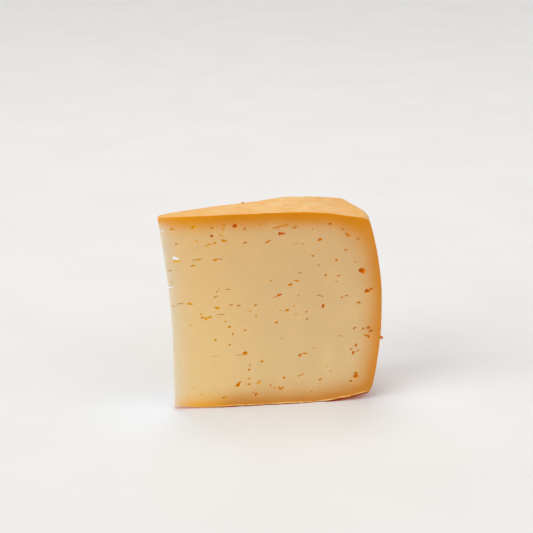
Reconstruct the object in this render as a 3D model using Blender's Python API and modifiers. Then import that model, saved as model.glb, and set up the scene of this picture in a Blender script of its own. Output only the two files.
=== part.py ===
"""Wedge of semi-hard cheese with its rind, standing on its flat underside.

The whole wheel is turned from its profile. Two long cuts from the rim towards the wheel's
centre and one short cut across the point slice the wedge out of it, and the eyes (the small
gas holes of the paste) are sunk into the cut faces.

Units are metres, +Z is up, +X runs from the point to the rim, and one long cut faces -Y.
The origin lies on the table, under the middle of the wedge's box.
"""
import math
import random

import bmesh
import bpy
from mathutils import Matrix, Vector

MM = 0.001

# The wheel
WHEEL_RADIUS = 121.5 * MM
WHEEL_HEIGHT = 95.0 * MM
BULGE_HEIGHT = 42.0 * MM        # height at which the side stands out furthest
BULGE_DEPTH = 5.2 * MM          # how far the side draws in from there down to the table
BULGE_POWER = 2.2
SHOULDER_RADIUS = 80.0 * MM     # where the top starts to fall towards the rim
SHOULDER_DROP = 4.6 * MM
SHOULDER_REACH = 34.0 * MM
SHOULDER_POWER = 1.7
FOOT_RADIUS = 90.0 * MM         # where the underside starts to rise towards the rim
FOOT_LIFT = 4.8 * MM
FOOT_REACH = 26.5 * MM
FOOT_POWER = 1.2
HOLLOW_RADIUS = 52.0 * MM       # the underside is slightly dished round the wheel's centre
HOLLOW_DEPTH = 3.7 * MM
HOLLOW_POWER = 1.2
CORNER_ROUND = 2.2 * MM         # length of each leg of the rounded rim corners
WHEEL_STEPS = 120

# The cuts
WEDGE_ANGLE = math.radians(16.7)
POINT_RADIUS = 23.7 * MM        # distance from the wheel's centre to the foot of the point
POINT_OVERHANG = 5.2 * MM       # how far the point leans out at the top
POINT_BEND_HEIGHT = 38.0 * MM   # below this height the point stands upright
POINT_BEND_POWER = 1.6
POINT_SLANT = math.radians(12)  # turn of the trimmed face, so that its far edge lies further back
KNIFE_DRIFT = 1.5 * MM          # how far the far cut curves in towards the near one at the point
KNIFE_DRIFT_LENGTH = 8.0 * MM
CUT_MARGIN = 12.0 * MM          # how far the cutting blocks reach past the wheel

# The eyes, in mm on the near cut: along from the point's foot, height above the table,
# width, height of the opening, and tilt in degrees with the rim end up as positive
NEAR_EYES = (
    (29.5, 88.6, 2.8, 1.8, -10),
    (19.0, 85.3, 1.6, 1.1, 10),
    (50.5, 87.2, 5.6, 1.5, 14),
    (50.5, 84.4, 2.8, 1.3, 5),
    (72.6, 87.0, 1.5, 1.5, 0),
    (81.0, 83.2, 2.5, 1.1, -38),
    (68.2, 81.3, 2.4, 1.5, 10),
    (44.0, 81.3, 2.6, 1.2, 25),
    (2.6, 74.6, 4.4, 3.0, -5),
    (20.3, 74.0, 2.8, 1.3, 8),
    (87.8, 65.4, 3.0, 2.8, 0),
    (91.2, 55.8, 3.8, 2.2, 5),
    (49.4, 55.7, 2.5, 2.0, 15),
    (86.6, 49.6, 2.2, 1.6, 0),
    (70.2, 48.7, 1.5, 2.1, 0),
    (16.0, 46.6, 4.8, 1.6, 12),
    (91.9, 34.8, 3.6, 3.0, -20),
    (33.2, 26.8, 3.0, 1.9, -5),
    (60.6, 25.3, 3.6, 1.6, 10),
    (86.1, 12.8, 2.9, 2.8, 0),
    (30.6, 11.6, 2.3, 2.2, 50),
    (35.3, 11.4, 1.7, 1.4, 20),
    (59.7, 14.2, 2.2, 1.1, 18),
    (50.3, 8.6, 3.0, 1.2, 0),
    (23.7, 5.6, 2.6, 1.4, 0),
)
SCATTERED_NEAR_EYES = 12
SCATTERED_FAR_EYES = 28
SCATTER_WIDTH = (1.4 * MM, 3.2 * MM)
SCATTER_FLATNESS = (0.4, 0.9)   # height of an opening over its width
SCATTER_TILT = math.radians(22)
EYE_CLEARANCE = 3.0 * MM        # least distance between the rims of two eyes
RIND_CLEARANCE = 4.5 * MM       # least distance from an eye's rim to the rind
EYE_SUNK = 0.1                  # how far a ball's centre lies below the cut, over its depth
EYE_UNEVENNESS = 0.16
EYE_SUBDIVISIONS = 2
SEED = 41

PASTE_COLOUR = (0.66, 0.46, 0.23, 1.0)
PASTE_ROUGHNESS = 0.5


def top_height(radius):
    """Height of the wheel's top at a distance from its centre."""
    past = max(0.0, radius - SHOULDER_RADIUS)
    return WHEEL_HEIGHT - SHOULDER_DROP * (past / SHOULDER_REACH) ** SHOULDER_POWER


def underside_height(radius):
    """Height of the wheel's underside above the table."""
    outer = max(0.0, radius - FOOT_RADIUS)
    inner = max(0.0, 1.0 - radius / HOLLOW_RADIUS)
    lift = FOOT_LIFT * (outer / FOOT_REACH) ** FOOT_POWER
    return lift + HOLLOW_DEPTH * inner ** HOLLOW_POWER


def side_radius(height):
    """Radius of the wheel's side at a height."""
    away = abs(height - BULGE_HEIGHT) / BULGE_HEIGHT
    return WHEEL_RADIUS - BULGE_DEPTH * away ** BULGE_POWER


def rim_corner(height_at):
    """Radius and height where the side meets the top or the underside."""
    radius = WHEEL_RADIUS
    for _ in range(20):
        radius = side_radius(height_at(radius))
    return radius, height_at(radius)


def spread(start, end, count):
    """Evenly spaced values from start to end."""
    return [start + (end - start) * step / (count - 1) for step in range(count)]


def rounded(before, corner, after, count):
    """Points of a rounded corner, between and without its two end points."""
    points = []
    for t in spread(0.0, 1.0, count + 2)[1:-1]:
        points.append(tuple(
            (1 - t) ** 2 * a + 2 * t * (1 - t) * b + t ** 2 * c
            for a, b, c in zip(before, corner, after)))
    return points


def wheel_profile():
    """Outline of half the wheel, from the top's centre down its side to the underside's."""
    top_corner = rim_corner(top_height)
    foot_corner = rim_corner(underside_height)
    top_end = top_corner[0] - CORNER_ROUND
    foot_end = foot_corner[0] - CORNER_ROUND
    side_top = top_corner[1] - CORNER_ROUND
    side_foot = foot_corner[1] + CORNER_ROUND

    top = [(0.0, WHEEL_HEIGHT)]
    top += [(radius, top_height(radius)) for radius in spread(SHOULDER_RADIUS, top_end, 8)]
    side = [(side_radius(height), height) for height in spread(side_top, side_foot, 16)]
    foot = [(radius, underside_height(radius)) for radius in spread(foot_end, FOOT_RADIUS, 8)]
    foot += [(radius, underside_height(radius)) for radius in spread(HOLLOW_RADIUS, 0.0, 12)]

    points = top + rounded(top[-1], top_corner, side[0], 4) + side
    points += rounded(side[-1], foot_corner, foot[0], 4) + foot
    return points


def near_cut_y(x):
    """Y of the near cut, which is flat."""
    return -x * math.tan(WEDGE_ANGLE / 2)


def far_cut_y(x):
    """Y of the far cut, which curves in a little at the point."""
    past_point = x - point_foot_x()
    drift = KNIFE_DRIFT * math.exp(-past_point / KNIFE_DRIFT_LENGTH)
    return x * math.tan(WEDGE_ANGLE / 2) - drift


def point_foot_x():
    """Distance along +X from the wheel's centre to the foot of the point."""
    return POINT_RADIUS * math.cos(WEDGE_ANGLE / 2)


def point_x(height):
    """Distance along +X from the wheel's centre to the near edge of the point's trimmed face."""
    bend = max(0.0, height - POINT_BEND_HEIGHT) / (WHEEL_HEIGHT - POINT_BEND_HEIGHT)
    return point_foot_x() - POINT_OVERHANG * bend ** POINT_BEND_POWER


def link(obj, collection, parent):
    """Put an object in a collection and under the wheel's centre."""
    collection.objects.link(obj)
    obj.parent = parent
    return obj


def make_cutter(obj):
    """Show a cutting block as wire only and leave it out of the model."""
    obj.hide_render = True
    obj.display_type = "WIRE"
    return obj


def extruded_outline(name, outline, depth):
    """Closed block from a flat outline, as thick as depth and centred on its plane."""
    curve = bpy.data.curves.new(name, "CURVE")
    curve.dimensions = "2D"
    curve.fill_mode = "BOTH"
    curve.extrude = depth / 2
    spline = curve.splines.new("POLY")
    spline.points.add(len(outline) - 1)
    for point, place in zip(spline.points, outline):
        point.co = (place[0], place[1], 0.0, 1.0)
    spline.use_cyclic_u = True

    source = bpy.data.objects.new(name + "_outline", curve)
    bpy.context.scene.collection.objects.link(source)
    evaluated = source.evaluated_get(bpy.context.evaluated_depsgraph_get())
    mesh = bpy.data.meshes.new_from_object(evaluated)
    bpy.data.objects.remove(source)

    weld = bmesh.new()
    weld.from_mesh(mesh)
    bmesh.ops.remove_doubles(weld, verts=weld.verts, dist=0.001 * MM)
    bmesh.ops.recalc_face_normals(weld, faces=weld.faces)
    weld.to_mesh(mesh)
    weld.free()
    return bpy.data.objects.new(name, mesh)


def make_wheel():
    """The whole wheel, turned about its own axis."""
    points = wheel_profile()
    mesh = bpy.data.meshes.new("cheese_wedge")
    vertices = [(radius, 0.0, height) for radius, height in points]
    edges = [(index, index + 1) for index in range(len(points) - 1)]
    mesh.from_pydata(vertices, edges, [])
    wheel = bpy.data.objects.new("cheese_wedge", mesh)

    turn = wheel.modifiers.new("turn", "SCREW")
    turn.axis = "Z"
    turn.steps = WHEEL_STEPS
    turn.render_steps = WHEEL_STEPS
    turn.use_merge_vertices = True
    turn.merge_threshold = 0.01 * MM
    turn.use_smooth_shade = True
    return wheel


def make_long_cuts():
    """Upright block between the two long cuts, which keeps the wedge."""
    start = point_foot_x() - POINT_OVERHANG - 1.6 * MM
    end = WHEEL_RADIUS + CUT_MARGIN
    near = [(x, near_cut_y(x)) for x in (start, end)]
    bend_end = point_foot_x() + 3 * KNIFE_DRIFT_LENGTH
    far_stations = [end] + spread(bend_end, start, 10)
    far = [(x, far_cut_y(x)) for x in far_stations]
    block = extruded_outline("long_cuts", near + far, WHEEL_HEIGHT + 2 * CUT_MARGIN)
    block.location.z = WHEEL_HEIGHT / 2
    return make_cutter(block)


def make_point_cut():
    """Block that trims the point, with the trimmed face as its outer side.

    It is turned about the near edge of the point's foot.
    """
    low, high = -CUT_MARGIN, WHEEL_HEIGHT + CUT_MARGIN
    heights = [low] + spread(POINT_BEND_HEIGHT, WHEEL_HEIGHT, 9) + [high]
    face = [(point_x(height), height) for height in heights]
    back = point_foot_x() - POINT_OVERHANG - CUT_MARGIN
    outline = face + [(back, high), (back, low)]
    pivot_x, pivot_y = point_foot_x(), near_cut_y(point_foot_x())
    outline = [(x - pivot_x, height) for x, height in outline]
    block = extruded_outline("point_cut", outline, 4 * CUT_MARGIN)
    block.location = (pivot_x, pivot_y, 0.0)
    block.rotation_euler = (math.radians(90), 0.0, -POINT_SLANT)
    return make_cutter(block)


def cut_frame(side):
    """Matrix whose X runs along a long cut to the rim, Y up, and Z out of the wedge.

    side is -1 for the near cut and 1 for the far one. The origin is the wheel's centre.
    """
    half = WEDGE_ANGLE / 2
    along = Vector((math.cos(half), side * math.sin(half), 0.0))
    up = Vector((0.0, 0.0, 1.0))
    outward = Vector((-math.sin(half), side * math.cos(half), 0.0))
    return Matrix((
        (along.x, up.x, outward.x, 0.0),
        (along.y, up.y, outward.y, 0.0),
        (along.z, up.z, outward.z, 0.0),
        (0.0, 0.0, 0.0, 1.0)))


def add_eye(cutter, frame, eye, rng):
    """Add one uneven, flattened ball, half sunk into the cut that the frame stands for."""
    along, height, width, opening, tilt = eye
    depth = 0.5 * (width + opening)
    place = Matrix.Translation((POINT_RADIUS + along, height, -EYE_SUNK * depth))
    turned = Matrix.Rotation(tilt, 4, "Z")
    size = Matrix.Diagonal((width / 2, opening / 2, depth / 2, 1.0))
    ball = bmesh.ops.create_icosphere(cutter, subdivisions=EYE_SUBDIVISIONS, radius=1.0)
    matrix = frame @ place @ turned @ size
    for vertex in ball["verts"]:
        vertex.co *= 1.0 + EYE_UNEVENNESS * rng.uniform(-1.0, 1.0)
        vertex.co = matrix @ vertex.co
    if matrix.determinant() < 0:
        faces = {face for vertex in ball["verts"] for face in vertex.link_faces}
        bmesh.ops.reverse_faces(cutter, faces=list(faces))


def fits(eye, others):
    """Whether an eye lies inside the paste and clear of the other eyes."""
    along, height, width, opening, _ = eye
    radius = POINT_RADIUS + along
    reach = width / 2 + RIND_CLEARANCE
    if not underside_height(radius) + reach < height < top_height(radius) - reach:
        return False
    if radius > side_radius(height) - reach:
        return False
    for other in others:
        gap = math.hypot(along - other[0], height - other[1]) - (width + other[2]) / 2
        if gap < EYE_CLEARANCE:
            return False
    return True


def scatter_eyes(placed, count, rng):
    """Add count eyes at random places to a copy of the placed ones."""
    eyes = list(placed)
    span = WHEEL_RADIUS - POINT_RADIUS
    while len(eyes) < len(placed) + count:
        width = rng.uniform(*SCATTER_WIDTH)
        flatness = rng.uniform(*SCATTER_FLATNESS)
        tilt = rng.uniform(-SCATTER_TILT, SCATTER_TILT)
        eye = (rng.uniform(0.08, 1.0) * span, rng.uniform(0.0, WHEEL_HEIGHT),
               width, width * flatness, tilt)
        if fits(eye, eyes):
            eyes.append(eye)
    return eyes


def make_eyes():
    """All the eyes of both long cuts, as one mesh of separate balls."""
    rng = random.Random(SEED)
    placed = [
        (along * MM, height * MM, width * MM, opening * MM, math.radians(tilt))
        for along, height, width, opening, tilt in NEAR_EYES]
    near = scatter_eyes(placed, SCATTERED_NEAR_EYES, rng)
    far = scatter_eyes([], SCATTERED_FAR_EYES, rng)

    cutter = bmesh.new()
    for side, eyes in ((-1, near), (1, far)):
        frame = cut_frame(side)
        for eye in eyes:
            add_eye(cutter, frame, eye, rng)
    mesh = bpy.data.meshes.new("eyes")
    cutter.to_mesh(mesh)
    cutter.free()
    return make_cutter(bpy.data.objects.new("eyes", mesh))


def cut_with(body, name, cutter, operation):
    """Add a live Boolean to a body."""
    cut = body.modifiers.new(name, "BOOLEAN")
    cut.operation = operation
    cut.solver = "EXACT"
    cut.object = cutter


def paste_material():
    """Pale, satin cheese paste."""
    material = bpy.data.materials.new("cheese_paste")
    material.use_nodes = True
    shader = material.node_tree.nodes["Principled BSDF"]
    shader.inputs["Base Color"].default_value = PASTE_COLOUR
    shader.inputs["Roughness"].default_value = PASTE_ROUGHNESS
    shader.inputs["Metallic"].default_value = 0.0
    return material


def clear_scene():
    """Remove every object that the scene starts with."""
    for obj in list(bpy.data.objects):
        bpy.data.objects.remove(obj, do_unlink=True)


def new_collection(name):
    """A collection under the scene's own."""
    collection = bpy.data.collections.new(name)
    bpy.context.scene.collection.children.link(collection)
    return collection


def main():
    """Build the wedge."""
    clear_scene()
    model = new_collection("cheese_wedge")
    cutters = new_collection("cutters")

    centre = bpy.data.objects.new("wheel_centre", None)
    model.objects.link(centre)
    centre.location.x = -(point_x(WHEEL_HEIGHT) + WHEEL_RADIUS) / 2

    wedge = link(make_wheel(), model, centre)
    long_cuts = link(make_long_cuts(), cutters, centre)
    point_cut = link(make_point_cut(), cutters, centre)
    eyes = link(make_eyes(), cutters, centre)

    cut_with(wedge, "keep_between_long_cuts", long_cuts, "INTERSECT")
    cut_with(wedge, "trim_point", point_cut, "DIFFERENCE")
    cut_with(wedge, "sink_eyes", eyes, "DIFFERENCE")
    wedge.data.materials.append(paste_material())


main()
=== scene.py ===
"""Looks of the cheese wedge: its waxy paste with small eyes, its washed rind, a few crumbs and the stage.

Lengths are metres unless a name says mm. The wheel's own frame has its centre on the wheel's axis,
at table height. +X runs from the point to the rim, and one long cut faces -Y.
"""
import math
import random
from collections import namedtuple
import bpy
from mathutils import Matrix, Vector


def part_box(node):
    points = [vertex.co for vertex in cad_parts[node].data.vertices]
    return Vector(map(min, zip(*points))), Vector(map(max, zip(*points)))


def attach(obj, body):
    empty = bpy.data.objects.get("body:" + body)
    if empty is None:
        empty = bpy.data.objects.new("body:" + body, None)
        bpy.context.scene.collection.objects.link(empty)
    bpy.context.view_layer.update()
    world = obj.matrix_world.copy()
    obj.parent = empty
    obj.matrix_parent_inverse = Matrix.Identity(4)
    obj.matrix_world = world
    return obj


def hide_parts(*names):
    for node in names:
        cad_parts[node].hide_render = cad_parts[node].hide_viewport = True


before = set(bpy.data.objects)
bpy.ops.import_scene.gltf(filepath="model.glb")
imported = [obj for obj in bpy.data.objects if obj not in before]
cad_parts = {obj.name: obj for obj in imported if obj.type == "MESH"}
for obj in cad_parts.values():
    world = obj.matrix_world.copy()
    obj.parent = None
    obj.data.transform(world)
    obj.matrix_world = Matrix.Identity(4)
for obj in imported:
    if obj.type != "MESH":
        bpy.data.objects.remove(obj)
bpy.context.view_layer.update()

from types import SimpleNamespace

import bpy
from mathutils import Euler, Matrix, Vector

bl_info = {
    "name": "Cheese Wedge",
    "version": (1, 0, 0),
    "blender": (4, 5, 0),
    "location": "View3D > Sidebar > Cheese",
    "description": "Carves and dresses a wedge of semi-hard cheese",
    "category": "Add Mesh",
}

MM = 0.001
NODE = "cheese_wedge"
LOW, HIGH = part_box(NODE)
SEED = 7

# A ball that sinks an eye or makes a crumb: its place, its turn and its three half sizes
Ball = namedtuple("Ball", "place turn size")

# Eyes of the near cut that stand out, in mm: along from the point's foot, height above the table,
# width, opening, tilt in degrees with the rim end up, and how far the ends bend up. The last two
# are left out where they are 0.
NEAR_EYES = (
    (87.6, 65.7, 2.8, 2.3), (88.6, 65.2, 2.0, 2.2, -30), (90.3, 55.4, 2.2, 1.9, 20),
    (91.2, 55.1, 1.5, 1.6), (92.2, 56.2, 2.0, 1.5, 15), (86.7, 49.6, 2.2, 1.6, -10),
    (86.2, 12.3, 3.0, 2.3), (86.3, 13.8, 1.7, 1.9), (83.9, 10.0, 1.4, 1.1), (91.8, 36.9, 1.7, 1.5),
    (92.9, 35.3, 2.6, 1.3, 15), (90.9, 33.0, 2.2, 1.2, -10), (92.0, 32.4, 1.2, 2.2, 15),
    (89.4, 36.6, 1.2, 1.5, 25), (85.3, 37.1, 2.4, 1.0, 30), (86.0, 28.2, 1.3, 1.3),
    (84.8, 24.4, 1.2, 2.0, -15), (83.6, 26.3, 1.1, 1.1), (87.0, 25.4, 2.2, 0.8, 35),
    (30.1, 11.1, 2.1, 1.8), (30.8, 12.4, 1.3, 2.0, -30), (35.4, 11.4, 2.0, 1.4, 20),
    (38.6, 6.1, 1.8, 1.4, 38), (37.2, 6.9, 0.8, 0.8), (33.6, 26.6, 2.8, 1.9, -8, 0.3),
    (33.7, 27.6, 1.3, 1.2), (30.8, 26.4, 3.2, 0.6), (41.4, 22.3, 2.2, 1.4, 15), (35.3, 18.6, 1.4, 1.3),
    (35.5, 14.2, 1.2, 1.0), (69.1, 11.6, 2.0, 1.2, 5), (59.4, 24.8, 1.9, 1.7, 20),
    (61.7, 25.6, 2.5, 1.2, 10), (51.9, 13.5, 1.5, 1.3), (59.2, 14.0, 1.9, 0.8, 10),
    (60.6, 14.7, 1.3, 1.0, 35), (50.3, 8.3, 3.4, 1.1, 0, 0.9), (47.4, 8.5, 0.8, 0.9),
    (45.5, 10.3, 1.3, 1.0), (23.7, 5.3, 2.9, 1.4), (49.5, 55.6, 2.7, 1.9, 25), (47.6, 54.5, 1.8, 0.5, 10),
    (70.2, 48.7, 1.5, 2.2, -20), (57.4, 62.0, 2.8, 1.1, -8), (54.6, 60.3, 2.3, 1.3),
    (58.9, 65.9, 1.8, 0.6), (20.6, 50.6, 3.2, 1.2, -25), (15.9, 45.8, 5.4, 1.4, 11, 0.6),
    (13.3, 47.6, 1.0, 1.3), (8.3, 53.1, 2.8, 1.3, -12), (4.2, 53.6, 3.4, 0.5, 6),
    (0.9, 52.6, 1.3, 0.8, 20), (22.2, 47.4, 4.0, 0.6, 2), (26.9, 51.8, 2.2, 0.7, 5),
    (30.6, 51.2, 1.7, 0.8, -5), (24.4, 43.9, 1.3, 0.9, 10), (20.0, 56.0, 2.0, 0.9, 25),
    (20.6, 58.3, 1.2, 0.8, 40), (25.5, 59.3, 2.0, 0.7), (26.3, 40.9, 1.5, 1.3), (28.0, 37.3, 1.0, 1.5),
    (19.8, 34.6, 1.5, 1.3), (26.5, 31.8, 1.3, 1.1), (33.5, 38.9, 1.3, 1.0), (38.5, 50.9, 1.8, 0.9, 40),
    (62.0, 46.3, 1.9, 0.8, -5), (62.5, 42.6, 1.4, 0.8), (48.2, 41.8, 1.8, 1.1), (53.2, 47.6, 2.2, 1.2),
    (20.3, 74.0, 2.4, 1.3, 12), (22.4, 74.2, 2.0, 0.5), (10.1, 71.2, 2.1, 1.3),
    (12.9, 74.5, 2.8, 0.9, 12), (11.0, 74.2, 2.4, 0.5, 6), (17.2, 81.1, 3.6, 0.8, 14),
    (20.2, 82.0, 1.8, 1.1), (24.3, 82.8, 3.0, 1.3, -24), (33.7, 81.4, 2.2, 1.1, 5),
    (44.0, 81.5, 3.2, 1.1, 24), (18.9, 89.1, 1.8, 1.2), (18.8, 85.3, 1.6, 1.3), (10.4, 89.8, 3.0, 1.3, 2),
    (1.0, 89.4, 2.6, 1.3, -18), (3.0, 82.2, 1.4, 0.9), (-0.3, 69.5, 1.6, 0.6), (24.2, 90.1, 1.9, 0.8, 10),
    (24.0, 88.3, 1.9, 1.0, -35), (29.3, 89.5, 2.9, 1.6, -25), (33.6, 88.0, 1.2, 1.1),
    (50.6, 88.6, 5.6, 1.2, 13), (47.2, 88.0, 2.0, 0.6), (49.3, 85.0, 1.4, 2.0, 5), (49.1, 87.2, 0.7, 0.7),
    (50.8, 84.9, 2.8, 1.2, 6), (56.6, 87.7, 2.6, 1.0, 25), (72.6, 88.8, 1.6, 1.4),
    (68.0, 81.4, 2.6, 1.3, 12), (80.9, 83.3, 3.3, 1.1, -42), (78.5, 86.1, 1.8, 0.8, -5),
    (85.8, 81.0, 1.6, 1.1, -50), (80.1, 75.9, 1.8, 1.2), (75.8, 71.4, 1.3, 1.2),
    (67.7, 69.4, 1.4, 0.9, -25), (71.0, 64.2, 1.3, 1.2), (77.0, 63.7, 2.0, 0.8, 12),
    (67.7, 54.4, 1.5, 1.0), (69.2, 53.9, 2.0, 0.7, -15), (65.0, 73.9, 1.4, 0.8), (76.2, 60.9, 1.0, 0.7),
    (78.8, 52.8, 1.8, 1.0, 15), (80.9, 53.7, 1.8, 0.9, 10),
)
# Faint, shallow dimples of the near cut, given in the same way
NEAR_DIMPLES = (
    (3.0, 73.9, 4.4, 2.6, -12), (11.8, 83.4, 1.2, 1.8), (0.2, 64.1, 1.8, 0.8), (84.5, 70.2, 1.6, 1.1),
    (45.4, 62.6, 1.6, 0.8), (23.0, 85.6, 2.6, 1.0, -8), (41.0, 90.0, 2.6, 1.1, 5), (57.0, 80.1, 2.0, 0.9),
    (60.0, 79.9, 2.2, 0.8), (35.8, 48.2, 2.0, 0.6, 10), (38.8, 45.7, 1.2, 1.8, 20),
    (57.4, 45.6, 2.0, 0.9, 5), (50.2, 47.7, 2.4, 0.5), (56.4, 49.6, 1.4, 1.2), (40.2, 11.6, 3.6, 2.2, 15),
    (19.4, 26.5, 4.0, 0.6), (8.3, 42.6, 2.0, 0.9, 5), (9.3, 10.6, 1.8, 1.2), (12.8, 7.2, 2.4, 1.0),
    (74.0, 15.9, 1.6, 1.0), (72.4, 18.0, 1.8, 0.9, -20), (78.5, 33.4, 3.4, 0.7, -12),
    (66.3, 28.1, 1.6, 1.4),
)
# Tunnels that run right through the thin point: along, height, width and opening, in mm
TUNNELS = ((1.9, 75.6, 2.5, 2.0), (3.3, 75.1, 1.9, 1.2), (-3.2, 88.5, 1.3, 1.2), (-0.5, 61.7, 3.8, 0.8))
TUNNEL_HEADING = math.radians(11.5)   # from +Y towards the rim
TUNNEL_FALL = math.radians(19.5)      # below the horizontal
TUNNEL_LENGTH = 14.0 * MM
TUNNEL_SHARE_IN = 0.35                # share of that length from the near cut to its middle
# Nicks in the point's upright edge, in mm: along, height, width and opening
NICKS = ((-1.6, 61.8, 2.2, 1.0),)
# Where the near cut's eyes get red painted shade, in mm: along, height and radius
RED_SHADED_EYES = (
    (18.8, 85.3, 0.8), (29.3, 89.5, 1.6), (50.3, 84.9, 1.9), (49.9, 55.9, 0.9), (72.6, 88.8, 0.7),
    (87.8, 65.6, 1.4), (90.4, 55.3, 1.0), (70.2, 48.7, 0.8), (68.2, 81.4, 0.6),
)

# Small eyes drawn at random: how many, and the range of their widths
NEAR_SPECKS = (24, 0.6 * MM, 1.2 * MM)
FAR_EYES = (120, 0.9 * MM, 3.4 * MM)
POINT_EYES = (9, 0.7 * MM, 1.4 * MM)
# Least and greatest height of the balls that sink the eyes, the dimples, the specks and the point's eyes
EYE_DEPTHS = (1.0 * MM, 4.0 * MM)
DIMPLE_DEPTHS = (0.0, 0.46 * MM)
SPECK_DEPTHS = (0.0, 0.9 * MM)
POINT_DEPTHS = (0.0, 1.0 * MM)
EYE_GAP = 0.8 * MM                    # least distance between the rims of two random eyes
RIND_GAP = 3.0 * MM                   # least distance from a random eye's rim to the rind
LONG_EYE = 1.35                       # width over opening from which an eye is a row of balls
BALLS_PER_OPENING = 1.6               # balls that each opening's worth of width adds to the row
MOST_BALLS = 6                        # balls that one long eye is made of, at most
BALL_SUNK = 0.1                       # how far an eye's balls lie below the cut, over their height
BALL_GAP = 1.25                       # least distance of two balls cut at once, over their reach
BALL_BUMPS = 0.9 * MM                 # size of a ball's bumps

# Crumbs on the rind, in mm: distance from the wheel's axis, share of the wedge's angle, width
TOP_CRUMBS = ((60.8, 0.460, 1.7), (79.0, 0.20, 0.7), (98.0, 0.30, 0.6))
# The same on the side, with the height in place of the distance
SIDE_CRUMBS = ((30.9, -0.45, 2.3), (25.0, 0.20, 0.8), (66.0, 0.05, 0.7))
TOP_CRUMB_RISE, SIDE_CRUMB_RISE = -0.04, 0.42   # of a crumb's middle above the rind, over its width
CRUMB_DETAIL = 3
CRUMB_RAGGEDNESS = 0.6

# Angles in degrees between two faces, past which a cut edge is rounded or an edge looks sharp
ROUNDED_PAST, SHARP_PAST, CRUMB_SHARP_PAST = 40, 38, 60

# Each side lamp's name, its azimuth (0 in front, positive towards the rim) and its height, in degrees
SIDE_LAMPS = (("left", -72, 34), ("front", -14, 46), ("back", 172, 56), ("right", 50, 42))
TOP_LAMP = (-168, 79)
TOP_LAMP_DISTANCE = 1.26
TOP_LAMP_SIDE = 0.6
SENSOR_WIDTH = 36.0

# Half the sides of the floor's painted cool patch, which cancels part of the wedge's orange bounce light,
# and how fast it fades past them
COOL_HALF_LENGTH, COOL_HALF_WIDTH, COOL_FADE = 45.0 * MM, 8.0 * MM, 26.0 * MM


def srgb(red, green, blue):
    """A colour given from 0 to 255 as it looks on a screen, as the light values that shaders use."""
    light = []
    for part in (red, green, blue):
        share = part / 255
        light.append(share / 12.92 if share < 0.04045 else ((share + 0.055) / 1.055) ** 2.4)
    return (*light, 1)


def a_number(name, description, default, **settings):
    return bpy.props.FloatProperty(name=name, description=description, default=default, **settings)


def a_length(name, description, default):
    """A length that shows in the sidebar in the scene's unit."""
    return a_number(name, description, default, unit="LENGTH", precision=5)


def an_angle(name, description, degrees):
    return a_number(name, description, math.radians(degrees), unit="ROTATION")


def a_count(name, description, default):
    return bpy.props.IntProperty(name=name, description=description, default=default)


def a_colour(name, description, *parts):
    """A colour, given as it looks on a screen."""
    return bpy.props.FloatVectorProperty(
        name=name, description=description, default=srgb(*parts), size=4, subtype="COLOR",
        min=0, max=1)


def a_place(name, description, *parts_mm):
    return bpy.props.FloatVectorProperty(
        name=name, description=description, default=[part * MM for part in parts_mm], size=3,
        subtype="TRANSLATION")


class WheelSizes(bpy.types.PropertyGroup):
    """The wheel that the wedge is cut from, and the cuts."""

    radius: a_length("Radius", "Largest radius of the wheel", 121.5 * MM)
    height: a_length("Height", "Height of the wheel", HIGH.z - LOW.z)
    bulge_height: a_length("Bulge height", "Where the side stands out furthest", 42 * MM)
    bulge_depth: a_length("Bulge depth", "How far the side draws in below that", 5.2 * MM)
    bulge_power: a_number("Bulge power", "How late the side draws in", 2.2)
    shoulder_radius: a_length("Shoulder radius", "Where the top starts to fall", 80 * MM)
    shoulder_drop: a_length("Shoulder drop", "How far the top falls over its reach", 4.6 * MM)
    shoulder_reach: a_length("Shoulder reach", "Length of that fall", 34 * MM)
    shoulder_power: a_number("Shoulder power", "How late the top falls", 1.7)
    foot_radius: a_length("Foot radius", "Where the underside starts to rise", 90 * MM)
    foot_lift: a_length("Foot lift", "How far the underside rises over its reach", 4.8 * MM)
    foot_reach: a_length("Foot reach", "Length of that rise", 26.5 * MM)
    foot_power: a_number("Foot power", "How late the underside rises", 1.2)
    hollow_radius: a_length("Hollow radius", "Reach of the dish in the underside", 52 * MM)
    hollow_depth: a_length("Hollow depth", "Depth of that dish at the axis", 3.7 * MM)
    hollow_power: a_number("Hollow power", "How late the dish deepens", 1.2)
    corner_round: a_length("Corner round", "Leg of the rounded rim corners", 2.2 * MM)
    tip_round: a_length("Tip round", "Leg of the point's rounded top corner", 1.1 * MM)
    angle: an_angle("Angle", "Angle between the long cuts", 16.7)
    point_radius: a_length("Point radius", "From the axis to the point's foot", 23.7 * MM)
    point_overhang: a_length("Point overhang", "How far the point leans out", 5.6 * MM)
    point_bend_height: a_length("Point bend height", "Where the lean starts", 38 * MM)
    point_bend_power: a_number("Point bend power", "How late the point leans out", 1.6)
    point_slant: an_angle("Point slant", "Turn of the point's face, its far edge further back", 12)
    knife_drift: a_length("Knife drift", "Curve of the far cut at the point", 1.5 * MM)
    knife_drift_length: a_length("Knife drift length", "Reach of that curve", 8 * MM)


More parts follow.
